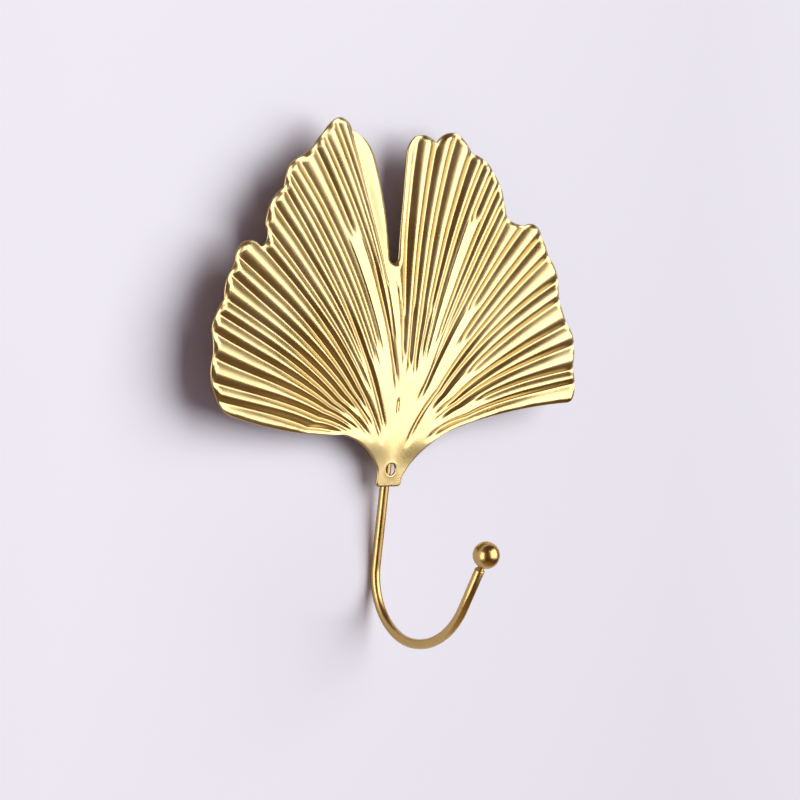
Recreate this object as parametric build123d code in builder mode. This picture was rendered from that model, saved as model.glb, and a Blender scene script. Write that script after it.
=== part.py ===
import os
from math import cos, exp, hypot, radians, sin, sqrt, tan

from build123d import *

os.makedirs("parts", exist_ok=True)

# Wall key holder: a pressed sheet in the form of a ginkgo leaf, brazed to one bent wire.
# The wire hangs from an eye behind the leaf and ends below it in a hook with a ball tip.
# Origin at the middle of the hanging eye, on the wall. The wall is the plane y = 0, the
# front faces -Y and +Z is up. All sizes are in millimetres and degrees.

# Sheet of the leaf
sheet_thickness = 0.8
pleat_depth = 1.0
pleat_steepness = 0.15  # groove depth for each millimetre of pleat width
pleat_middle = 0.4  # where a groove is fully deep, as a share of its length
rim_margin = 3.5  # border at the outer end of every groove
rim_roll = 0.4  # how far the outer edge is rolled back
dish_depth = 6.0
dish_half_width = 66.0
blade_tilt = 2.4
bend_above_hole = 8.0
bend_softness = 3.0
neck_width = 8.8
neck_below_hole = 5.0
neck_corner_radius = 1.2
crest_height = 1.3
crest_width = 3.0
crest_radius = 0.4
crest_fade = 10.0
hole_diameter = 3.4

# Slot between the two lobes
slot_x = -3.5
slot_width = 3.3
slot_above_hole = 58.7

# Bent wire
wire_diameter = 2.8
wall_gap = 0.1
shank_lean = 6.4
hook_drop = 48.0  # from the hole down to the wire's middle at the bottom of the hook
back_bend_radius = 17.8
front_bend_radius = 25.0
tip_lean = 29.0
tip_length = 13.4
end_chamfer = 0.3
eye_bore = 8.0
eye_neck_radius = 3.0
eye_end_angle = 232.0
eye_above_hole = 36.0
eye_tail = 3.0
spine_above_hole = 5.0
spine_bend_radius = 9.0

# Ball on the wire's tip
ball_diameter = 7.4
tip_gap = 0.9  # bare stretch of spigot between the wire's shoulder and the ball
spigot_diameter = 1.7
spigot_depth = 3.0
spigot_fit = 0.03

# Braze beads between wire and neck
braze_gap = 0.08
braze_width = 5.0
braze_above_hole = 5.0
braze_clear = 0.6  # beads stay this far from the hole's edge and from the neck's end

# Fan of pleats. Each groove runs from its root bearing to its rim bearing, in degrees
# from upright about the fan point, and stops at its reach. The last value is the reach
# of the rounded tip that follows it, half way to the next groove.
fan_below_hole = 14.0
grooves = [
    (-57.5, -65.5, 62, 67),
    (-44, -62, 71.2, 73.8),
    (-38.5, -59.5, 76, 78.2),
    (-34, -55.5, 79.4, 81.2),
    (-30.5, -52, 84.2, 85.6),
    (-28, -49, 86.2, 86.8),
    (-25, -46, 87, 89.6),
    (-22.5, -42.5, 91, 91.6),
    (-19, -39.5, 93.4, 94.6),
    (-15, -33, 90.2, 96.2),
    (-12.5, -29, 99.4, 100.6),
    (-11, -26, 101, 103.2),
    (-8.5, -24.5, 105, 106.4),
    (-5.5, -22, 106.8, 107.4),
    (-3.5, -18.5, 108.4, 110.2),
    (-1.5, -16.5, 111.2, 112.6),
    (0, -14, 113.6, 113.4),
    (1.5, -11, 110.4, 108.5),
    (4, 1.5, 109.2, 109.6),
    (5.5, 5, 108, 111.6),
    (7, 8.5, 112.3, 110.9),
    (8.5, 12, 108, 108.2),
    (10, 14.5, 107.6, 107),
    (11.5, 16.5, 105.6, 104.6),
    (13, 18.5, 103, 101.6),
    (14, 20.5, 99.4, 97.4),
    (15, 22.5, 95.4, 95.4),
    (16.5, 26.5, 96.6, 98.6),
    (18.5, 30.5, 96.8, 95.6),
    (20, 34, 93.4, 92.6),
    (21.5, 38.5, 90.2, 88.2),
    (25, 41.5, 86.2, 84.8),
    (27.5, 46.5, 83.6, 83.4),
    (30, 51, 81.8, 79.8),
    (33.5, 55.5, 77.4, 77),
    (37.5, 58.5, 76, 73.6),
    (57, 63.5, 67, 67),
]

# Outline of the leaf below its rim, in x and height above the hole: two long edges that
# sweep into the neck.
left_corner = (-61.5, 16.6)
left_edge = (-38.3, 11.3)
left_flare = (-18.1, 10.0)
left_sweep = (-9.0, 5.6)
right_sweep = (10.0, 4.4)
right_flare = (20.0, 10.8)
right_edge = (40.0, 16.4)
right_corner = (62.0, 19.8)

# Sides of the slot, which open upwards and round off into the rim
slot_bow = (-8.3, 76.7)
slot_lip_left = (-12.1, 87.2)
slot_round_left = (-15.2, 91.6)
slot_mouth_left = (-22.0, 94.7)
slot_lip_right = (-0.95, 90.5)
slot_round_right = (-0.1, 92.8)
slot_mouth_right = (2.4, 95.4)

# Sizes that follow
past_rim = 2 * max(reach for root, rim, reach, tip in grooves)
wire_radius = wire_diameter / 2
ball_radius = ball_diameter / 2
hole_z = -eye_above_hole
fan_z = hole_z - fan_below_hole
bend_z = hole_z + bend_above_hole
eye_radius = eye_bore / 2 + wire_radius
wire_stand = wire_radius + wall_gap
lean_slope = tan(radians(shank_lean))
blade_slope = tan(radians(blade_tilt))
back_bend_y = -wire_stand - back_bend_radius
back_bend_z = hole_z - hook_drop + back_bend_radius
shank_end = (
    back_bend_y + back_bend_radius * cos(radians(shank_lean)),
    back_bend_z + back_bend_radius * sin(radians(shank_lean)),
)


# Distance from the wall to the middle of the leaning shank at a height
def shank_stand(z):
    return lean_slope * (z - shank_end[1]) - shank_end[0]


def smooth(share):
    share = min(max(share, 0.0), 1.0)
    return share * share * (3 - 2 * share)


# Distance from the wall to the leaf's front without its pleats: the neck is creased over
# the wire, and the blade bends upright above it and is dished towards the room.
sheet_seat = wire_radius / cos(radians(shank_lean)) + braze_gap + sheet_thickness


def front_stand(x, z):
    above = z - bend_z
    turn = (lean_slope - blade_slope) / 2 * hypot(above, bend_softness)
    rise = (lean_slope + blade_slope) / 2 * above - turn
    crease = 1 - exp((crest_radius - hypot(x, crest_radius)) / crest_width)
    neck_share = 1 - smooth((z - hole_z) / crest_fade)
    dish = dish_depth * (x / dish_half_width) ** 2
    return shank_stand(bend_z) + sheet_seat + rise + dish - crest_height * crease * neck_share


# Stations along a pleat: the neck's end, the hole, the root at the bend, the middle, the
# inner side of the border and the rim. The grooves die out in the neck and at the rim.
neck_end_radius = fan_below_hole - neck_below_hole - neck_corner_radius
hole_top_radius = fan_below_hole + hole_diameter / 2
root_radius = fan_below_hole + bend_above_hole
depth_shares = [0, 0, 0.5, 1, 1, 0]
roll_shares = [0, 0, 0, 0, 0, 1]
rim_station = len(roll_shares) - 1
last_groove = len(grooves) - 1


def groove_radius(index, station):
    reach = grooves[index][2]
    border = reach - rim_margin
    middle = root_radius + pleat_middle * (border - root_radius)
    return [neck_end_radius, hole_top_radius, root_radius, middle, border, reach][station]


def crown_radius(index, station):
    if station == rim_station:
        return grooves[index][3]
    return (groove_radius(index, station) + groove_radius(index + 1, station)) / 2


def groove_bearing(index, radius):
    root, rim, reach, tip = grooves[index]
    share = (radius - root_radius) / (reach - root_radius)
    return root + (rim - root) * max(share, 0.0)


def groove_depth(index, radius):
    if index in (0, last_groove):
        return 0.0
    span = groove_bearing(index + 1, radius) - groove_bearing(index - 1, radius)
    return min(pleat_steepness * radius * radians(span) / 2, pleat_depth)


def skin_point(bearing, radius, sunk):
    x = radius * sin(radians(bearing))
    z = fan_z + radius * cos(radians(bearing))
    return (x, sunk - front_stand(x, z), z)


def groove_point(index, station):
    radius = groove_radius(index, station)
    depth = depth_shares[station] * groove_depth(index, radius)
    roll = roll_shares[station] * rim_roll
    return skin_point(groove_bearing(index, radius), radius, depth + roll)


def crown_point(index, station):
    radius = crown_radius(index, station)
    bearing = (groove_bearing(index, radius) + groove_bearing(index + 1, radius)) / 2
    return skin_point(bearing, radius, roll_shares[station] * rim_roll)


def pleat_arc(index, station):
    start = groove_point(index, station)
    end = groove_point(index + 1, station)
    return Edge.make_three_point_arc(start, crown_point(index, station), end)


def side_edges(index):
    points = [groove_point(index, station) for station in range(rim_station + 1)]
    return [Edge.make_line(start, end) for start, end in zip(points, points[1:])]


# The front skin is lofted through the stations, and the back skin is the same surface
# one sheet thickness nearer to the wall.
stations = [
    Wire([pleat_arc(index, station) for index in range(last_groove)])
    for station in range(rim_station + 1)
]
through_sheet = Vector(0, sheet_thickness, 0)
front_skin = Shell.make_loft(stations, ruled=True)
back_skin = front_skin.moved(Location(through_sheet))
border = stations[0].edges() + stations[-1].edges() + side_edges(0) + side_edges(last_groove)
cut_edge = [Face.extrude(edge, through_sheet) for edge in border]
pleated_sheet = Solid(Shell(front_skin.faces() + back_skin.faces() + cut_edge))

hole_plane = Plane((0, 0, hole_z), x_dir=(1, 0, 0), z_dir=(0, -1, 0))
neck_side = neck_width / 2
neck_end_left = (-neck_side, -neck_below_hole)
neck_end_right = (neck_side, -neck_below_hole)
neck_top_left = (-neck_side, 0)
neck_top_right = (neck_side, -neck_below_hole / 2)
slot_left = (slot_x - slot_width / 2, slot_above_hole + slot_width / 2)
slot_right = (slot_x + slot_width / 2, slot_above_hole + slot_width / 2)

with BuildPart() as leaf:
    add(pleated_sheet)
    with BuildSketch(hole_plane) as blank:
        with BuildLine():
            ThreePointArc(left_corner, left_edge, left_flare)
            ThreePointArc(left_flare, left_sweep, neck_top_left)
            Polyline(neck_top_left, neck_end_left, neck_end_right, neck_top_right)
            ThreePointArc(neck_top_right, right_sweep, right_flare)
            ThreePointArc(right_flare, right_edge, right_corner)
            Polyline(
                right_corner,
                (past_rim, right_corner[1]),
                (past_rim, past_rim),
                (-past_rim, past_rim),
                (-past_rim, left_corner[1]),
                left_corner,
            )
        make_face()
        fillet(blank.vertices().group_by(Axis.Z)[0], neck_corner_radius)
    extrude(amount=past_rim, mode=Mode.INTERSECT)
    with BuildSketch(hole_plane):
        Circle(hole_diameter / 2)
        with BuildLine():
            ThreePointArc(slot_mouth_left, slot_round_left, slot_lip_left)
            ThreePointArc(slot_lip_left, slot_bow, slot_left)
            ThreePointArc(slot_left, (slot_x, slot_above_hole), slot_right)
            Line(slot_right, slot_lip_right)
            ThreePointArc(slot_lip_right, slot_round_right, slot_mouth_right)
            Polyline(
                slot_mouth_right,
                (slot_mouth_right[0], past_rim),
                (slot_mouth_left[0], past_rim),
                slot_mouth_left,
            )
        make_face()
    extrude(amount=past_rim, mode=Mode.SUBTRACT)
leaf.part.label = "leaf"
export_step(leaf.part, "parts/leaf.step")

# Wire: the spine drops from the eye, comes forward to the neck and leans back to the wall
# as the shank, then turns out into the hook and up to its tip.
shank_dir = (sin(radians(shank_lean)), -cos(radians(shank_lean)))
tip_dir = Vector(0, -sin(radians(tip_lean)), cos(radians(tip_lean)))
spine_z = hole_z + spine_above_hole
eye_neck_z = -sqrt((eye_radius + eye_neck_radius) ** 2 - eye_neck_radius**2)
eye_meet = eye_radius / (eye_radius + eye_neck_radius)
eye_start = (eye_meet * eye_neck_radius, eye_meet * eye_neck_z)
eye_end = (eye_radius * cos(radians(eye_end_angle)), eye_radius * sin(radians(eye_end_angle)))

with BuildPart() as hook_wire:
    with BuildLine(Plane.YZ) as shank:
        spine = FilletPolyline(
            (-wire_stand, eye_neck_z),
            (-wire_stand, eye_neck_z - eye_tail),
            (-shank_stand(spine_z), spine_z),
            shank_end,
            radius=spine_bend_radius,
        )
        back_bend = JernArc(shank_end, shank_dir, back_bend_radius, -90 - shank_lean)
        front_bend = JernArc(back_bend @ 1, back_bend % 1, front_bend_radius, tip_lean - 90)
        tip = PolarLine(front_bend @ 1, tip_length, direction=front_bend % 1)
    with BuildSketch(Plane(spine @ 0, z_dir=spine % 0)):
        Circle(wire_radius)
    sweep(path=shank.wire())
    with BuildLine(Plane.XZ.offset(wire_stand)) as eye:
        eye_neck = RadiusArc((0, eye_neck_z), eye_start, eye_neck_radius)
        ThreePointArc(eye_start, (0, eye_radius), eye_end)
    with BuildSketch(Plane(eye_neck @ 0, z_dir=eye_neck % 0)):
        Circle(wire_radius)
    sweep(path=eye.wire())
    chamfer(hook_wire.faces().filter_by(GeomType.PLANE).edges(), end_chamfer)
    tip_end = tip @ 1
    with BuildSketch(Plane(tip_end, z_dir=tip_dir)):
        Circle(spigot_diameter / 2)
    extrude(amount=tip_gap + spigot_depth)
hook_wire.part.label = "hook_wire"
export_step(hook_wire.part, "parts/hook_wire.step")

# Ball: bored blind to sit on the wire's spigot
with BuildPart() as ball_tip:
    with Locations(tip_end + tip_dir * (tip_gap + ball_radius)):
        Sphere(ball_radius)
    with BuildSketch(Plane(tip_end, z_dir=tip_dir)):
        Circle(spigot_diameter / 2 + spigot_fit)
    extrude(amount=tip_gap + spigot_depth + spigot_fit, mode=Mode.SUBTRACT)
ball_tip.part.label = "ball_tip"
export_step(ball_tip.part, "parts/ball_tip.step")

# Braze: beads in the two corners between the wire and the creased neck, below and above
# the hole, which stays open.
shank_plane = Plane(
    (0, -shank_stand(hole_z), hole_z),
    x_dir=(1, 0, 0),
    z_dir=(0, -shank_dir[0], -shank_dir[1]),
)
braze_front = wire_radius - 2 * braze_gap
hole_clear = hole_diameter / 2 + braze_clear
bead_spans = [
    (braze_clear - neck_below_hole, -hole_clear),
    (hole_clear, braze_above_hole),
]

with BuildPart() as braze:
    for start, end in bead_spans:
        with BuildSketch(shank_plane.offset(start)):
            Rectangle(braze_width, braze_front, align=(Align.CENTER, Align.MAX))
        extrude(amount=end - start)
    add(leaf.part, mode=Mode.SUBTRACT)
    add(hook_wire.part, mode=Mode.SUBTRACT)
braze.part.label = "braze"
export_step(braze.part, "parts/braze.step")
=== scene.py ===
import math

import bpy
import numpy as np
from mathutils import Matrix, Vector, geometry, noise


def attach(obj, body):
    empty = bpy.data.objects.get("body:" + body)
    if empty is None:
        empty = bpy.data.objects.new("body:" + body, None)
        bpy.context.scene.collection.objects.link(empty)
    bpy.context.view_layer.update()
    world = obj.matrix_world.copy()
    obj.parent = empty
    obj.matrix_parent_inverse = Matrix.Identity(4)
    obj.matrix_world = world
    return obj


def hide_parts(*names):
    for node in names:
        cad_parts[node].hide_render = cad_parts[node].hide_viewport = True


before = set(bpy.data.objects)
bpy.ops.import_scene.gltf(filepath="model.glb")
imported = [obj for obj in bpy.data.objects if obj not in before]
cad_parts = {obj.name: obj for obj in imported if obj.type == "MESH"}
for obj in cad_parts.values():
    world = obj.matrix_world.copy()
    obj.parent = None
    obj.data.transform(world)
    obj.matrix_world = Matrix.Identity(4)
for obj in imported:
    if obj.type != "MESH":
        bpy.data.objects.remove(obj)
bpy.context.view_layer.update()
mm = 0.001
tiny = 1e-6  # keeps divisions safe
print("frame loaded")

# the wire's place sets where the neck stands, as in the solids
wireShape = {
    "radius": 1.4,
    "wallGap": 0.1,
    "shankLean": 6.4,
    "hookDrop": 48.0,
    "backBend": 17.8,
    "eyeAboveHole": 36.0,
}
holeZ = -wireShape["eyeAboveHole"]
leanSlope = math.tan(math.radians(wireShape["shankLean"]))
bendY = -wireShape["radius"] - wireShape["wallGap"] - wireShape["backBend"]
bendZ = holeZ - wireShape["hookDrop"] + wireShape["backBend"]
shankY = bendY + wireShape["backBend"] * math.cos(math.radians(wireShape["shankLean"]))
shankZ = bendZ + wireShape["backBend"] * math.sin(math.radians(wireShape["shankLean"]))

# lengths in mm and angles in degrees
leafShape = {
    "thickness": 0.8,
    "brazeGap": 0.08,
    "bladeTilt": 2.4,
    "bendAboveHole": 8.0,
    "bendSoftness": 3.0,
    "dishDepth": 6.0,
    "dishHalfWidth": 66.0,
    "crestHeight": 0.55,
    "crestWidth": 3.0,
    "crestRadius": 1.2,
    "crestFade": 10.0,
    "fanBelowHole": 14.0,
    "midRadius": 60.0,
    "lowRadius": 40.0,
    "rootRadius": 24.0,
    "rootShares": (0.6, 0.62),  # of the low bearing that is left at the root, left and right
    "rootLimit": 1.3,
    "holeRadius": 1.7,
    "holeLip": 0.05,
    "lipWidth": 0.6,
    "pleatSteepness": (0.16, 0.235),  # left and right
    "steepenFrom": -10.0,
    "steepenOver": 25.0,
    "pleatDepth": 1.4,
    "crownPower": 2.0,
    "valleyRadius": 0.46,
    "rootFade": 7.0,
    "strokeStart": 36,
    "strokeDepth": 0.42,
    "strokeWidth": 0.95,
    "strokeLead": 2.0,
    "strokeFade": 6.0,
    "strokeEnds": (48.0, 68.0),
    "creaseFade": (0.25, 0.2),  # shares of its length, in and out
    "rimMargin": 1.5,
    "rimSink": 0.7,
    "rimRoll": 0.25,
    "edgeRadius": 0.28,
    "ripple": 0.12,
    "rippleSize": (9.0, 12.0),
    "rippleSlice": 3.1,
    "bladeFrom": 26.0,  # the ripple and the rolled rim fade in here
    "bladeOver": 14.0,
}
fanZ = holeZ - leafShape["fanBelowHole"]

# each groove: bearing at the rim, at the middle and at the low radius, reach, reach of the tip
# after it, and the radius where it starts
grooves = [
    (-65.5, -65.0, -61.0, 62.0, 67.0, 40),
    (-62.0, -58.6, -49.0, 71.2, 73.8, 30),
    (-59.5, -54.3, -43.2, 76.0, 78.2, 28),
    (-55.5, -49.6, -38.7, 79.4, 81.2, 28),
    (-52.0, -45.2, -35.6, 84.2, 85.6, 32),
    (-49.0, -41.4, -32.8, 86.2, 86.8, 25),
    (-46.0, -37.8, -29.4, 87.0, 89.6, 33),
    (-42.5, -34.0, -25.4, 91.0, 91.6, 27),
    (-39.5, -30.1, -22.6, 93.4, 94.6, 31),
    (-34.2, -26.1, -19.0, 90.2, 90.6, 23),
    (-31.8, -23.2, -16.4, 94.6, 97.4, 36),
    (-29.0, -20.0, -14.0, 99.4, 100.6, 42),
    (-26.0, -17.6, -12.2, 101.0, 103.2, 25),
    (-24.4, -14.4, -9.2, 105.0, 106.4, 42),
    (-22.0, -11.4, -6.4, 106.8, 107.4, 46),
    (-18.5, -8.4, -3.6, 108.4, 110.2, 78),
    (-16.5, -5.6, -0.8, 111.2, 113.0, 40),
    (-14.0, -4.1, 0.4, 114.2, 114.2, 50),
    (-11.0, -3.0, 1.4, 110.4, 108.5, 64),
    (1.4, 1.3, 2.8, 109.2, 109.6, 42),
    (5.0, 4.4, 5.4, 108.0, 111.6, 40),
    (8.5, 7.2, 8.0, 112.3, 110.9, 40),
    (12.0, 9.8, 9.8, 108.0, 108.2, 43),
    (14.5, 11.6, 11.3, 107.6, 107.0, 44),
    (16.5, 13.5, 12.6, 105.6, 104.6, 86),
    (18.5, 15.4, 13.8, 103.0, 101.6, 50),
    (20.4, 17.1, 14.9, 99.4, 97.4, 44),
    (22.5, 18.9, 15.4, 95.4, 95.4, 34),
    (26.6, 21.3, 17.7, 96.6, 98.6, 62),
    (30.5, 24.5, 19.8, 96.8, 95.6, 52),
    (34.0, 27.8, 22.6, 93.4, 92.6, 22),
    (38.6, 31.1, 25.1, 90.2, 88.2, 32),
    (41.6, 35.2, 28.4, 86.2, 84.8, 46),
    (46.5, 40.0, 31.6, 83.6, 83.4, 33),
    (51.1, 44.2, 34.6, 81.8, 79.8, 31),
    (55.5, 48.9, 38.4, 77.4, 77.0, 42),
    (58.5, 53.3, 43.0, 76.0, 73.6, 26),
    (63.5, 62.5, 60.0, 67.0, 67.0, 40),
]
rimBearing, midBearing, lowBearing, grooveReach, tipReach, grooveStart = np.array(grooves).T

# creases and dents of the palm: points in x and height above the hole, depth, width
creases = [
    ([(-11.7, 60.6), (-6.6, 47.6), (-3.2, 38.8), (-1.1, 29.5), (0.7, 19.5)], 0.5, 1.0),
    ([(-3.5, 58.0), (-0.9, 48.8), (0.9, 43.3), (1.1, 37.3), (1.7, 31.2)], 0.3, 0.5),
    ([(0.8, 21.0), (0.6, 15.6)], 0.25, 0.5),
    ([(4.4, 48.7), (4.2, 39.5), (4.1, 29.4)], 0.3, 0.6),
    ([(8.5, 48.8), (7.2, 37.9), (6.1, 26.1)], 0.35, 0.7),
    ([(12.1, 49.0), (10.1, 42.3), (8.3, 33.3)], 0.3, 0.6),
]

# outline below the rim, and the slot, in x and height above the hole
leafEdge = {
    "left": [(-61.5, 16.6), (-38.3, 11.3), (-18.1, 10.0)],
    "leftSweep": [(-18.1, 10.0), (-9.0, 5.6), (-4.4, 0.0)],
    "neckCorners": [(-4.4, -5.0), (4.4, -5.0)],
    "cornerRadius": 1.2,
    "rightSweep": [(4.4, -2.5), (10.0, 4.4), (20.0, 10.8)],
    "right": [(20.0, 10.8), (40.0, 16.4), (62.0, 19.8)],
    "slotLeft": [(-5.15, 60.35), (-8.3, 76.7), (-12.1, 87.2)],
    "slotLipLeft": [(-12.1, 87.2), (-15.2, 91.6), (-22.0, 94.7)],
    "slotFoot": [(-5.15, 60.35), (-3.5, 58.7), (-1.85, 60.35)],
    "slotRight": [(-1.85, 60.35), (-0.95, 90.5)],
    "slotLipRight": [(-0.95, 90.5), (-0.1, 92.8), (2.4, 95.4)],
    "overrun": 1.2,  # how far the lower edge is drawn on, to meet the rim
    "endReach": 3.0,  # the fan's two lower ends are rounded over this far
    "endRounds": 16,
    "edgeRounds": 2,
    "easing": 0.5,
}
meshGrain = {
    "outlineStep": 0.45,
    "cornerStep": 0.15,
    "leastStep": 0.05,
    "holeSides": 48,
    "holeSlack": 0.017,
    "mergeGap": 1e-5,
    "radiusSteps": [(8.0, 62.0, 0.7), (62.0, 115.0, 1.1)],
    "edgeRows": [0.1, 0.24, 0.5, 0.95],
    "rowShare": 0.9,
    "rowGap": 0.25,
    "normalRim": 0.1,
    "normalEdge": 1.2,
    "normalStep": 0.04,
    # rows across a pleat, by its least width
    "pleatRows": [
        (2.2, [0, 0.03, 0.065, 0.11, 0.18, 0.28, 0.39, 0.5, 0.61, 0.72, 0.82, 0.89, 0.935, 0.97]),
        (1.1, [0, 0.05, 0.12, 0.22, 0.35, 0.5, 0.65, 0.78, 0.88, 0.95]),
        (0.3, [0, 0.12, 0.3, 0.5, 0.7, 0.88]),
    ],
}


def smooth(share):
    share = np.clip(share, 0.0, 1.0)
    return share * share * (3 - 2 * share)


# distance from the wall to the leaf's front without its pleats
def frontStand(x, z):
    s = leafShape
    bladeSlope = math.tan(math.radians(s["bladeTilt"]))
    bend = holeZ + s["bendAboveHole"]
    seat = wireShape["radius"] / math.cos(math.radians(wireShape["shankLean"]))
    seat += s["brazeGap"] + s["thickness"]
    above = z - bend
    turn = (leanSlope - bladeSlope) / 2 * np.hypot(above, s["bendSoftness"])
    rise = (leanSlope + bladeSlope) / 2 * above - turn
    crease = 1 - np.exp((s["crestRadius"] - np.hypot(x, s["crestRadius"])) / s["crestWidth"])
    neckShare = 1 - smooth((z - holeZ) / s["crestFade"])
    dish = s["dishDepth"] * (x / s["dishHalfWidth"]) ** 2
    shank = leanSlope * (bend - shankZ) - shankY
    return shank + seat + rise + dish - s["crestHeight"] * crease * neckShare


# bearing of each groove at each radius: a parabola outwards, closing up to the root inwards
def grooveBearings(radius):
    s = leafShape
    low, mid = s["lowRadius"], s["midRadius"]
    radius = np.asarray(radius, float)[:, None]
    lowSlope = (midBearing - lowBearing) / (mid - low)
    rimSlope = (rimBearing - midBearing) / (grooveReach - mid)
    curve = (rimSlope - lowSlope) / (grooveReach - low)
    outer = np.maximum(radius, low)
    bearing = lowBearing + (outer - low) * (lowSlope + curve * (outer - mid))
    closing = (low - np.minimum(radius, low)) / (low - s["rootRadius"])
    drawnIn = lowBearing * (1 - np.where(lowBearing < 0, *s["rootShares"]))
    return bearing - drawnIn * np.minimum(closing, s["rootLimit"])


def polar(x, z):
    return np.hypot(x, z - fanZ), np.degrees(np.arctan2(x, z - fanZ))


# depth of every groove at each radius, from the width of the pleats beside it
def grooveDepths(radius, lines):
    s = leafShape
    around = np.pad(np.diff(lines, axis=1), ((0, 0), (1, 1)), mode="edge")
    spacing = np.radians((around[:, 1:] + around[:, :-1]) / 2) * radius[:, None]
    leftSteep, rightSteep = s["pleatSteepness"]
    towardsRight = smooth((lines - s["steepenFrom"]) / s["steepenOver"])
    steep = leftSteep + (rightSteep - leftSteep) * towardsRight
    full = np.minimum(steep * spacing, s["pleatDepth"])
    full *= smooth((radius[:, None] - grooveStart) / s["rootFade"])
    full[:, [0, -1]] = 0
    return full


# how deep the front is pressed in at each point, and how deep the grooves beside it are
def pleatDepth(x, z):
    s = leafShape
    radius, bearing = polar(x, z)
    lines = grooveBearings(radius)
    index = np.clip((bearing[:, None] > lines).sum(1) - 1, 0, len(grooves) - 2)
    rows = np.arange(len(x))
    left, right = lines[rows, index], lines[rows, index + 1]
    span = np.maximum(right - left, tiny)
    share = np.clip((bearing - left) / span, 0, 1)
    width = np.radians(span) * radius
    full = grooveDepths(radius, lines)
    nearest = np.where(share < 0.5, index, index + 1)
    away = np.minimum(share, 1 - share) * width
    soft = np.hypot(away, s["valleyRadius"]) - s["valleyRadius"]
    flank = np.clip(1 - 2 * soft / np.maximum(width, tiny), 0, 1)
    floor = full[rows, index] * (1 - share) + full[rows, index + 1] * share
    pressed = full[rows, nearest] * flank ** s["crownPower"]
    return pressed + strokeDepth(radius, bearing, lines), floor


# grooves that start low are pressed deeper near their root
def strokeDepth(radius, bearing, lines):
    s = leafShape
    inner, outer = s["strokeEnds"]
    total = np.zeros(len(radius))
    for line, start in zip(lines.T, grooveStart):
        if start < s["strokeStart"]:
            away = np.radians(bearing - line) * radius / s["strokeWidth"]
            fade = smooth((radius - start + s["strokeLead"]) / s["strokeFade"])
            fade *= 1 - smooth((radius - inner) / (outer - inner))
            total += s["strokeDepth"] * fade * np.exp(-away * away)
    return total


# distance from each point to a straight piece, and the share of the piece at the nearest place
def pieceDistance(points, a, b):
    d = b - a
    t = np.clip(((points - a) @ d) / (d @ d), 0, 1)
    return np.hypot(*(points - a - t[:, None] * d).T), t


# each crease fades in and out along its line
def creaseDepth(flat):
    fadeIn, fadeOut = leafShape["creaseFade"]
    total = np.zeros(len(flat))
    for points, depth, width in creases:
        line = np.array(points) + (0, holeZ)
        lengths = np.hypot(*np.diff(line, axis=0).T)
        marks = np.concatenate([[0], np.cumsum(lengths)])
        nearest = np.full(len(flat), np.inf)
        along = np.zeros(len(flat))
        for a, b, mark, length in zip(line, line[1:], marks, lengths):
            away, share = pieceDistance(flat, a, b)
            along = np.where(away < nearest, (mark + share * length) / marks[-1], along)
            nearest = np.minimum(nearest, away)
        fade = smooth(along / fadeIn) * smooth((1 - along) / fadeOut)
        total += depth * fade * np.exp(-((nearest / width) ** 2))
    return total


def arcThrough(points, step):
    (ax, ay), (bx, by), (cx, cy) = points
    d = 2 * (ax * (by - cy) + bx * (cy - ay) + cx * (ay - by))
    if abs(d) < tiny:
        return lineThrough([points[0], points[2]], step)
    a2, b2, c2 = ax * ax + ay * ay, bx * bx + by * by, cx * cx + cy * cy
    ox = (a2 * (by - cy) + b2 * (cy - ay) + c2 * (ay - by)) / d
    oy = (a2 * (cx - bx) + b2 * (ax - cx) + c2 * (bx - ax)) / d
    r = math.hypot(ax - ox, ay - oy)
    start = math.atan2(ay - oy, ax - ox)
    turn = (math.atan2(cy - oy, cx - ox) - start) % (2 * math.pi)
    if (math.atan2(by - oy, bx - ox) - start) % (2 * math.pi) > turn:
        turn -= 2 * math.pi
    count = max(2, math.ceil(abs(turn) * r / step))
    angles = start + turn * np.arange(count + 1) / count
    return np.stack([ox + r * np.cos(angles), oy + r * np.sin(angles)], 1)


def lineThrough(points, step):
    parts = []
    for a, b in zip(points, points[1:]):
        count = max(1, math.ceil(math.dist(a, b) / step))
        share = np.arange(count + 1)[:, None] / count
        parts.append(np.array(a) * (1 - share) + np.array(b) * share)
    return np.concatenate(parts)


# where polyline a first crosses polyline b: place in a, place in b, point
def crossing(a, b):
    for i in range(len(a) - 1):
        for j in range(len(b) - 1):
            point = geometry.intersect_line_line_2d(a[i], a[i + 1], b[j], b[j + 1])
            if point is not None:
                return i, j, np.array(point)
    raise ValueError("outline curves do not cross")


# round tips from groove to groove
def rimLine(step):
    parts = []
    for i in range(len(grooves) - 1):
        tipBearing = (rimBearing[i] + rimBearing[i + 1]) / 2
        reaches = (grooveReach[i], tipReach[i], grooveReach[i + 1])
        angles = np.radians((rimBearing[i], tipBearing, rimBearing[i + 1]))
        plan = [(r * math.sin(a), r * math.cos(a)) for r, a in zip(reaches, angles)]
        parts.append(arcThrough(plan, step)[:-1])
    return np.concatenate(parts) + (0, fanZ)


def neckLine(step):
    (leftX, leftZ), (rightX, rightZ) = leafEdge["neckCorners"]
    r = leafEdge["cornerRadius"]
    k = r * (1 - math.sqrt(0.5))  # the middle of the round, off both sides
    fine = meshGrain["cornerStep"]
    left = arcThrough([(leftX, leftZ + r), (leftX + k, leftZ + k), (leftX + r, leftZ)], fine)
    right = arcThrough([(rightX - r, rightZ), (rightX - k, rightZ + k), (rightX, rightZ + r)], fine)
    return np.concatenate([
        lineThrough([leafEdge["leftSweep"][2], tuple(left[0])], step),
        left,
        lineThrough([tuple(left[-1]), tuple(right[0])], step),
        right,
        lineThrough([tuple(right[-1]), leafEdge["rightSweep"][0]], step),
    ])


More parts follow.
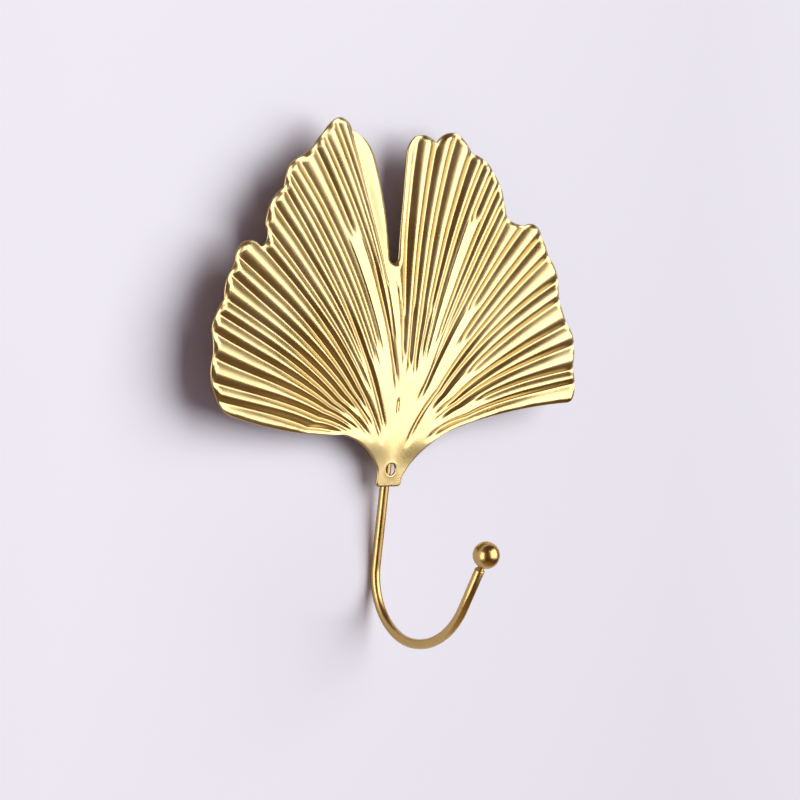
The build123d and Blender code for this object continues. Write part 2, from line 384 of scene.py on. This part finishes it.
# draws each point of a ring towards its neighbours, by its share
def eased(ring, share, rounds):
    for _ in range(rounds):
        middle = (np.roll(ring, 1, 0) + np.roll(ring, -1, 0)) / 2
        ring = ring + share * (middle - ring) * leafEdge["easing"]
    return ring


# the leaf's outline, anticlockwise from the lower left end
def closedOutline(step):
    e = leafEdge
    (leftX, leftZ), (rightX, rightZ) = e["left"][0], e["right"][2]
    lower = np.concatenate([
        lineThrough([(leftX * e["overrun"], leftZ), (leftX, leftZ)], step),
        arcThrough(e["left"], step),
        arcThrough(e["leftSweep"], step),
        neckLine(step),
        arcThrough(e["rightSweep"], step),
        arcThrough(e["right"], step),
        lineThrough([(rightX, rightZ), (rightX * e["overrun"], rightZ)], step),
    ]) + (0, holeZ)
    rim = rimLine(step)
    slotLeft = np.concatenate([arcThrough(e["slotLeft"], step), arcThrough(e["slotLipLeft"], step)])
    slotRight = np.concatenate([lineThrough(e["slotRight"], step), arcThrough(e["slotLipRight"], step)])
    slotLeft, slotRight = slotLeft + (0, holeZ), slotRight + (0, holeZ)
    slotFoot = arcThrough(e["slotFoot"], step / 2) + (0, holeZ)
    i0, j0, leftEnd = crossing(lower, rim)
    i1, j1, rightEnd = crossing(lower[::-1], rim[::-1])
    i2, j2, mouthLeft = crossing(slotLeft, rim)
    i3, j3, mouthRight = crossing(slotRight, rim)
    base = lower[i0 + 1 : len(lower) - 1 - i1]
    rightRim = rim[j3 + 1 : len(rim) - 1 - j1][::-1]
    leftRim = rim[j0 + 1 : j2 + 1][::-1]
    ring = np.concatenate([
        [leftEnd], base, [rightEnd], rightRim, [mouthRight], slotRight[: i3 + 1][::-1],
        slotFoot[::-1], slotLeft[: i2 + 1], [mouthLeft], leftRim,
    ])
    ring = ring[np.hypot(*(ring - np.roll(ring, 1, 0)).T) > meshGrain["leastStep"]]
    for end in (leftEnd, rightEnd):
        share = np.exp(-((ring - end) ** 2).sum(1) / e["endReach"] ** 2)[:, None]
        ring = eased(ring, share, e["endRounds"])
    return eased(ring, 1.0, e["edgeRounds"])


def insideRing(points, ring):
    inside = np.zeros(len(points), bool)
    for (ax, az), (bx, bz) in zip(ring, np.roll(ring, -1, 0)):
        spans = (az > points[:, 1]) != (bz > points[:, 1])
        if spans.any():
            cut = ax + (points[spans, 1] - az) / (bz - az) * (bx - ax)
            inside[spans] ^= points[spans, 0] < cut
    return inside


def ringDistance(points, ring):
    nearest = np.full(len(points), np.inf)
    for a, b in zip(ring, np.roll(ring, -1, 0)):
        nearest = np.minimum(nearest, pieceDistance(points, a, b)[0])
    return nearest


# distance outwards from the edge of the neck's hole
def holeDistance(points):
    return np.hypot(points[:, 0], points[:, 1] - holeZ) - leafShape["holeRadius"]


def insetRing(ring, amount):
    along = np.roll(ring, -1, 0) - np.roll(ring, 1, 0)
    along /= np.hypot(*along.T)[:, None]
    return ring + amount * np.stack([-along[:, 1], along[:, 0]], 1)


def pleatRows(width):
    for leastWidth, shares in meshGrain["pleatRows"]:
        if width > leastWidth:
            return shares
    return []


# points over the fan in rows that follow the pleats, with the row links to keep as edges
def fanPoints():
    points, links, last = [], [], {}
    for radius in np.concatenate([np.arange(*steps) for steps in meshGrain["radiusSteps"]]):
        lines = grooveBearings([radius])[0]
        row = {}
        for pleat, (a, b) in enumerate(zip(lines, lines[1:])):
            for share in pleatRows(math.radians(b - a) * radius):
                bearing = math.radians(a + (b - a) * share)
                key = (pleat, share)
                row[key] = len(points)
                if key in last:
                    links.append((last[key], row[key]))
                points.append((radius * math.sin(bearing), fanZ + radius * math.cos(bearing)))
        last = row
    return np.array(points), links


# where the front of the pressed sheet lies, from its plan point and the distance to the rim
def sheetAt(flat, rim):
    s = leafShape
    x, z = flat.T
    upper = smooth((polar(x, z)[0] - s["bladeFrom"]) / s["bladeOver"])
    nearRim = 1 - smooth(rim / s["rimMargin"])
    depth, floor = pleatDepth(x, z)
    depth += (floor * s["rimSink"] - depth) * nearRim
    roll = s["rimRoll"] * upper * nearRim
    across, up = s["rippleSize"]
    waves = [noise.noise(Vector((a / across, b / up, s["rippleSlice"]))) for a, b in flat]
    wave = np.array(waves) * s["ripple"] * upper
    lip = s["holeLip"] * np.exp(-((holeDistance(flat) / s["lipWidth"]) ** 2))
    return depth + roll + wave + creaseDepth(flat) - lip - frontStand(x, z)


# normals straight from the pressed form, zero near the edges where the mesh gives its own
def sheetNormals(flat, rim, edge):
    inner = (rim > leafShape["rimMargin"] + meshGrain["normalRim"]) & (edge > meshGrain["normalEdge"])
    points, away = flat[inner], rim[inner]
    step = meshGrain["normalStep"]
    slopeX = (sheetAt(points + (step, 0), away) - sheetAt(points - (step, 0), away)) / (2 * step)
    slopeZ = (sheetAt(points + (0, step), away) - sheetAt(points - (0, step), away)) / (2 * step)
    normals = np.zeros((len(flat), 3))
    normals[inner] = np.stack([slopeX, -np.ones(len(points)), slopeZ], 1)
    normals[inner] /= np.linalg.norm(normals[inner], axis=1)[:, None]
    return np.concatenate([normals, -normals])


# plan of the sheet in triangles: rows along its edges, and rows along the pleats inside them
def sheetPlan(outline):
    holeRadius, rows = leafShape["holeRadius"], meshGrain["edgeRows"]
    turns = np.arange(meshGrain["holeSides"]) / meshGrain["holeSides"] * 2 * math.pi
    hole = np.stack([holeRadius * np.cos(turns), holeZ - holeRadius * np.sin(turns)], 1)
    bands = []
    for ring in (outline, hole):
        for row in rows:
            band = insetRing(ring, row)
            gap = np.minimum(ringDistance(band, outline), abs(holeDistance(band)))
            bands.append(band[(gap > row * meshGrain["rowShare"]) & insideRing(band, outline)])
    filling, links = fanPoints()
    clear = np.minimum(ringDistance(filling, outline), holeDistance(filling))
    keep = insideRing(filling, outline) & (clear > rows[-1] + meshGrain["rowGap"])
    points = np.concatenate([outline, hole, *bands, filling[keep]])
    n, m = len(outline), len(hole)
    edges = [(i, (i + 1) % n) for i in range(n)]
    edges += [(n + i, n + (i + 1) % m) for i in range(m)]
    place = np.cumsum(keep) - 1 + len(points) - keep.sum()
    edges += [(int(place[i]), int(place[j])) for i, j in links if keep[i] and keep[j]]
    corners = [Vector(p) for p in points]
    plan = geometry.delaunay_2d_cdt(corners, edges, [], 1, meshGrain["mergeGap"])
    flat = np.array([tuple(v) for v in plan[0]])
    tri = np.array([f for f in plan[2] if len(f) == 3])
    middle = flat[tri].mean(1)
    tri = tri[insideRing(middle, outline) & (holeDistance(middle) > -meshGrain["holeSlack"])]
    a, b, c = (flat[tri[:, k]] for k in range(3))
    flipped = np.cross(b - a, c - a) < 0
    tri[flipped] = tri[flipped][:, ::-1]
    return flat, tri


def leafMesh():
    s = leafShape
    outline = closedOutline(meshGrain["outlineStep"])
    flat, tri = sheetPlan(outline)
    x, z = flat.T
    rim = ringDistance(flat, outline)
    edge = np.minimum(rim, abs(holeDistance(flat)))
    sheet = sheetAt(flat, rim)
    r = s["edgeRadius"]
    over = np.clip(1 - edge / r, 0, 1)
    edgeDrop = r * (1 - np.sqrt(1 - over * over))
    front = np.stack([x, sheet + edgeDrop, z], 1)
    behind = np.stack([x, sheet + s["thickness"] - edgeDrop, z], 1)
    pairs = {}  # sides of one triangle only, so the sheet's edges
    for a, b, c in tri:
        for p, q in ((a, b), (b, c), (c, a)):
            if pairs.pop((q, p), None) is None:
                pairs[(p, q)] = True
    start, end = np.array(list(pairs)).T
    count = len(flat)
    walls = np.stack([end, start, start + count, end + count], 1)
    faces = [tuple(face) for part in (tri, tri[:, ::-1] + count, walls) for face in part]
    mesh = bpy.data.meshes.new("leafSkin")
    mesh.from_pydata((np.concatenate([front, behind]) * mm).tolist(), [], faces)
    mesh.shade_smooth()
    mesh.normals_split_custom_set_from_vertices(sheetNormals(flat, rim, edge).tolist())
    return mesh


leaf = bpy.data.objects.new("leafSkin", leafMesh())
bpy.context.scene.collection.objects.link(leaf)
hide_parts("leaf")
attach(leaf, "root")
print("leaf pressed:", len(leaf.data.polygons), "faces")

# wire, ball and braze keep their solids, shaded smooth
solidShading = {"weldGap": 1e-6, "sharpFrom": 35}
for name in ("hook_wire", "ball_tip", "braze"):
    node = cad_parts[name]
    weld = node.modifiers.new("weld", "WELD")
    weld.merge_threshold = solidShading["weldGap"]
    node.data.shade_smooth()
    node.data.set_sharp_from_angle(angle=math.radians(solidShading["sharpFrom"]))

leafLook = {
    "colour": (0.58, 0.468, 0.242),
    "deepColour": (0.535, 0.412, 0.182),
    "backAndEdgeShadeColour": (0.30, 0.18, 0.07),
    "speckColour": (0.16, 0.09, 0.03),
    "roughness": (0.25, 0.33),
    "cloudScale": 45,
    "grain": 0.1,
    "grainScale": 2600,
    "speckScale": 110,
    "speckSize": 0.022,
}
wireLook = {
    "colour": (0.57, 0.40, 0.165),
    "deepColour": (0.49, 0.325, 0.115),
    "backAndEdgeShadeColour": (0.49, 0.325, 0.115),
    "speckColour": (0.25, 0.15, 0.05),
    "roughness": (0.24, 0.34),
    "cloudScale": 90,
    "grain": 0.08,
    "grainScale": 3200,
    "speckScale": 160,
    "speckSize": 0.02,
}
brazeLook = dict(
    wireLook,
    colour=(0.44, 0.33, 0.16),
    deepColour=(0.34, 0.25, 0.11),
    roughness=(0.4, 0.55),
)
# the same in every brass
satin = {
    "cloudDetail": 4.0,
    "cloudRoughness": 0.6,
    "grainDetail": 2.0,
    "grainDepth": 0.0002,
    "tintFrom": (0.3, 0.6),
    "roughFrom": (0.3, 0.7),
    "backAndEdgeShadeFrom": (-0.5, -0.2),
    "speckCore": 0.6,
}


def newMaterial(name):
    material = bpy.data.materials.new(name)
    material.use_nodes = True
    material.node_tree.nodes.clear()
    return material


def addNode(tree, kind, at, **values):
    node = tree.nodes.new(kind)
    node.location = at
    for key, value in values.items():
        node.inputs[key].default_value = value
    return node


def addRange(tree, at, low, high, toLow=0.0, toHigh=1.0):
    node = addNode(tree, "ShaderNodeMapRange", at)
    for name, value in (("From Min", low), ("From Max", high), ("To Min", toLow), ("To Max", toHigh)):
        node.inputs[name].default_value = value
    return node


def addMix(tree, at, first, second):
    node = addNode(tree, "ShaderNodeMix", at)
    node.data_type = "RGBA"
    node.inputs["A"].default_value = (*first, 1)
    node.inputs["B"].default_value = (*second, 1)
    return node


# satin brass: clouded tint, fine grain, a few specks, a duller back, and painted shade on the cut edge
def brassMaterial(name, look):
    material = newMaterial(name)
    tree = material.node_tree
    link = tree.links.new
    place = addNode(tree, "ShaderNodeTexCoord", (-1200, 0))
    cloud = addNode(tree, "ShaderNodeTexNoise", (-1000, 200), Scale=look["cloudScale"],
                    Detail=satin["cloudDetail"], Roughness=satin["cloudRoughness"])
    grain = addNode(tree, "ShaderNodeTexNoise", (-1000, -200), Scale=look["grainScale"],
                    Detail=satin["grainDetail"])
    dots = addNode(tree, "ShaderNodeTexVoronoi", (-1000, -500), Scale=look["speckScale"])
    axes = addNode(tree, "ShaderNodeSeparateXYZ", (-1000, 500))
    spread = addRange(tree, (-800, 200), *satin["tintFrom"])
    rough = addRange(tree, (-800, 0), *satin["roughFrom"], *look["roughness"])
    # faces turned away from the front take the darker colour: painted shade on the cut edge, and a
    # duller back
    behind = addRange(tree, (-800, 500), *satin["backAndEdgeShadeFrom"])
    speck = addRange(tree, (-800, -500), look["speckSize"], look["speckSize"] * satin["speckCore"])
    tint = addMix(tree, (-600, 200), look["deepColour"], look["colour"])
    back = addMix(tree, (-400, 200), look["colour"], look["backAndEdgeShadeColour"])
    spotted = addMix(tree, (-200, 200), look["colour"], look["speckColour"])
    bump = addNode(tree, "ShaderNodeBump", (-200, -200), Strength=look["grain"],
                   Distance=satin["grainDepth"])
    shader = addNode(tree, "ShaderNodeBsdfPrincipled", (0, 0), Metallic=1.0)
    out = addNode(tree, "ShaderNodeOutputMaterial", (300, 0))
    for texture in (cloud, grain, dots):
        link(place.outputs["Object"], texture.inputs["Vector"])
    link(place.outputs["Normal"], axes.inputs["Vector"])
    link(cloud.outputs["Fac"], spread.inputs["Value"])
    link(cloud.outputs["Fac"], rough.inputs["Value"])
    link(axes.outputs["Y"], behind.inputs["Value"])
    link(dots.outputs["Distance"], speck.inputs["Value"])
    link(spread.outputs["Result"], tint.inputs["Factor"])
    link(behind.outputs["Result"], back.inputs["Factor"])
    link(speck.outputs["Result"], spotted.inputs["Factor"])
    link(tint.outputs["Result"], back.inputs["A"])
    link(back.outputs["Result"], spotted.inputs["A"])
    link(spotted.outputs["Result"], shader.inputs["Base Color"])
    link(rough.outputs["Result"], shader.inputs["Roughness"])
    link(grain.outputs["Fac"], bump.inputs["Height"])
    link(bump.outputs["Normal"], shader.inputs["Normal"])
    link(shader.outputs["BSDF"], out.inputs["Surface"])
    return material


leaf.data.materials.append(brassMaterial("leafBrass", leafLook))
wireBrass = brassMaterial("wireBrass", wireLook)
brazeBrass = brassMaterial("brazeBrass", brazeLook)
looks = {"hook_wire": wireBrass, "ball_tip": wireBrass, "braze": brazeBrass}
for name, material in looks.items():
    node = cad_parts[name]
    node.data.materials.clear()
    node.data.materials.append(material)
print("brass set")

# stage: a pale wall, a dim studio and two soft lamps, in metres
stageLook = {
    "wallLitLeft": (0.92, 0.925, 0.99),
    "wallShadedRight": (0.78, 0.78, 0.84),
    "wallShadeFade": (-0.1, 0.13),
    "studio": (0.11, 0.044, 0.002),
    "studioFloor": (0.45, 0.3, 0.12),
    "floorFrom": (-1.65, -2.45),
    "studioLight": (0.19, 0.145, 0.17),
    "sky": (0.90, 0.88, 0.93),
    "skyStrength": 0.9,
    "wallSize": 6.0,
    "studioRadius": 2.6,
    "studioSides": (48, 24),
    "lampDistance": 2.0,
}
# the fill is a card that only the metal mirrors
lamps = {
    "key": {
        "azimuth": 30, "elevation": 12.5, "width": 2.35, "height": 2.1, "radiance": 3.35,
        "lightsWall": True,
    },
    "fill": {
        "azimuth": -74, "elevation": -2, "width": 1.0, "height": 1.9, "radiance": 4.0,
        "lightsWall": False,
    },
}


# matte paint with painted shade, a little darker to the right, clear from behind
def wallMaterial():
    material = newMaterial("wallPaint")
    tree = material.node_tree
    link = tree.links.new
    place = addNode(tree, "ShaderNodeTexCoord", (-800, 0))
    axes = addNode(tree, "ShaderNodeSeparateXYZ", (-600, 0))
    # painted shade: the paint darkens towards the right
    across = addRange(tree, (-400, 0), *stageLook["wallShadeFade"])
    paint = addMix(tree, (-200, 0), stageLook["wallLitLeft"], stageLook["wallShadedRight"])
    matte = addNode(tree, "ShaderNodeBsdfDiffuse", (0, 0))
    side = addNode(tree, "ShaderNodeNewGeometry", (0, 200))
    clear = addNode(tree, "ShaderNodeBsdfTransparent", (0, -200))
    mix = addNode(tree, "ShaderNodeMixShader", (200, 0))
    out = addNode(tree, "ShaderNodeOutputMaterial", (400, 0))
    link(place.outputs["Object"], axes.inputs["Vector"])
    link(axes.outputs["X"], across.inputs["Value"])
    link(across.outputs["Result"], paint.inputs["Factor"])
    link(paint.outputs["Result"], matte.inputs["Color"])
    link(side.outputs["Backfacing"], mix.inputs["Fac"])
    link(matte.outputs["BSDF"], mix.inputs[1])
    link(clear.outputs["BSDF"], mix.inputs[2])
    link(mix.outputs["Shader"], out.inputs["Surface"])
    return material


def addWall():
    half = stageLook["wallSize"] / 2
    corners = [(-half, 0, -half), (half, 0, -half), (half, 0, half), (-half, 0, half)]
    mesh = bpy.data.meshes.new("wall")
    mesh.from_pydata(corners, [], [(0, 1, 2, 3)])
    mesh.materials.append(wallMaterial())
    wall = bpy.data.objects.new("wall", mesh)
    bpy.context.scene.collection.objects.link(wall)


# cloth round the room: brown, paler low down, where the metal mirrors it, and a dim light elsewhere
def studioMaterial():
    material = newMaterial("studioCloth")
    tree = material.node_tree
    link = tree.links.new
    path = addNode(tree, "ShaderNodeLightPath", (-400, 0))
    place = addNode(tree, "ShaderNodeTexCoord", (-1000, 0))
    axes = addNode(tree, "ShaderNodeSeparateXYZ", (-800, 0))
    low = addRange(tree, (-600, 0), *stageLook["floorFrom"])
    cloth = addMix(tree, (-400, -200), stageLook["studio"], stageLook["studioFloor"])
    tone = addMix(tree, (-200, 0), stageLook["studioLight"], stageLook["studio"])
    glow = addNode(tree, "ShaderNodeEmission", (0, 0), Strength=1.0)
    out = addNode(tree, "ShaderNodeOutputMaterial", (300, 0))
    link(place.outputs["Object"], axes.inputs["Vector"])
    link(axes.outputs["Z"], low.inputs["Value"])
    link(low.outputs["Result"], cloth.inputs["Factor"])
    link(cloth.outputs["Result"], tone.inputs["B"])
    link(path.outputs["Is Glossy Ray"], tone.inputs["Factor"])
    link(tone.outputs["Result"], glow.inputs["Color"])
    link(glow.outputs["Emission"], out.inputs["Surface"])
    return material


def addStudio():
    sides, rings = stageLook["studioSides"]
    radius = stageLook["studioRadius"]
    bpy.ops.mesh.primitive_uv_sphere_add(segments=sides, ring_count=rings, radius=radius)
    studio = bpy.context.object
    studio.name = "studio"
    studio.data.materials.append(studioMaterial())
    studio.visible_camera = False


# direction from the wall out to a lamp or the camera
def outwards(azimuth, elevation):
    a, e = math.radians(azimuth), math.radians(elevation)
    return Vector((math.sin(a) * math.cos(e), -math.cos(a) * math.cos(e), math.sin(e)))


def addLamp(name, lamp):
    light = bpy.data.lights.new(name, "AREA")
    light.shape = "RECTANGLE"
    light.size = lamp["width"]
    light.size_y = lamp["height"]
    light.energy = lamp["radiance"] * math.pi * lamp["width"] * lamp["height"]
    towards = outwards(lamp["azimuth"], lamp["elevation"])
    item = bpy.data.objects.new(name, light)
    item.location = towards * stageLook["lampDistance"]
    item.rotation_euler = towards.to_track_quat("Z", "Y").to_euler()
    item.visible_diffuse = lamp["lightsWall"]
    bpy.context.scene.collection.objects.link(item)


addWall()
addStudio()
for name, lamp in lamps.items():
    addLamp(name, lamp)

world = bpy.data.worlds.new("world")
bpy.context.scene.world = world
world.use_nodes = True
sky = world.node_tree.nodes["Background"]
sky.inputs["Color"].default_value = (*stageLook["sky"], 1)
sky.inputs["Strength"].default_value = stageLook["skyStrength"]
print("stage set")

shot = {
    "azimuth": -38.0,
    "elevation": 4.0,
    "roll": 2.8,
    "distance": 520.0,
    "lens": 81.9,
    "sensor": 36.0,
    "clipStart": 0.01,
    "target": (2.45, -8.0, 19.9),
}


# the object hangs a little turned, so the camera turns the other way about the hole
def addCamera():
    camera = bpy.data.objects.new("camera", bpy.data.cameras.new("camera"))
    camera.data.lens = shot["lens"]
    camera.data.sensor_width = shot["sensor"]
    camera.data.clip_start = shot["clipStart"]
    back = outwards(shot["azimuth"], shot["elevation"])
    a = math.radians(shot["azimuth"])
    right = Vector((math.cos(a), math.sin(a), 0))
    up = back.cross(right)
    place = (Vector(shot["target"]) + shot["distance"] * back) * mm
    upright = Matrix.Translation(place) @ Matrix((right, up, back)).transposed().to_4x4()
    hang = Matrix.Rotation(math.radians(-shot["roll"]), 4, "Y")
    camera.matrix_world = Matrix.Translation((0, 0, holeZ * mm)) @ hang @ upright
    bpy.context.scene.collection.objects.link(camera)
    bpy.context.scene.camera = camera


addCamera()
bpy.context.scene.view_settings.view_transform = "Standard"
print("camera set")
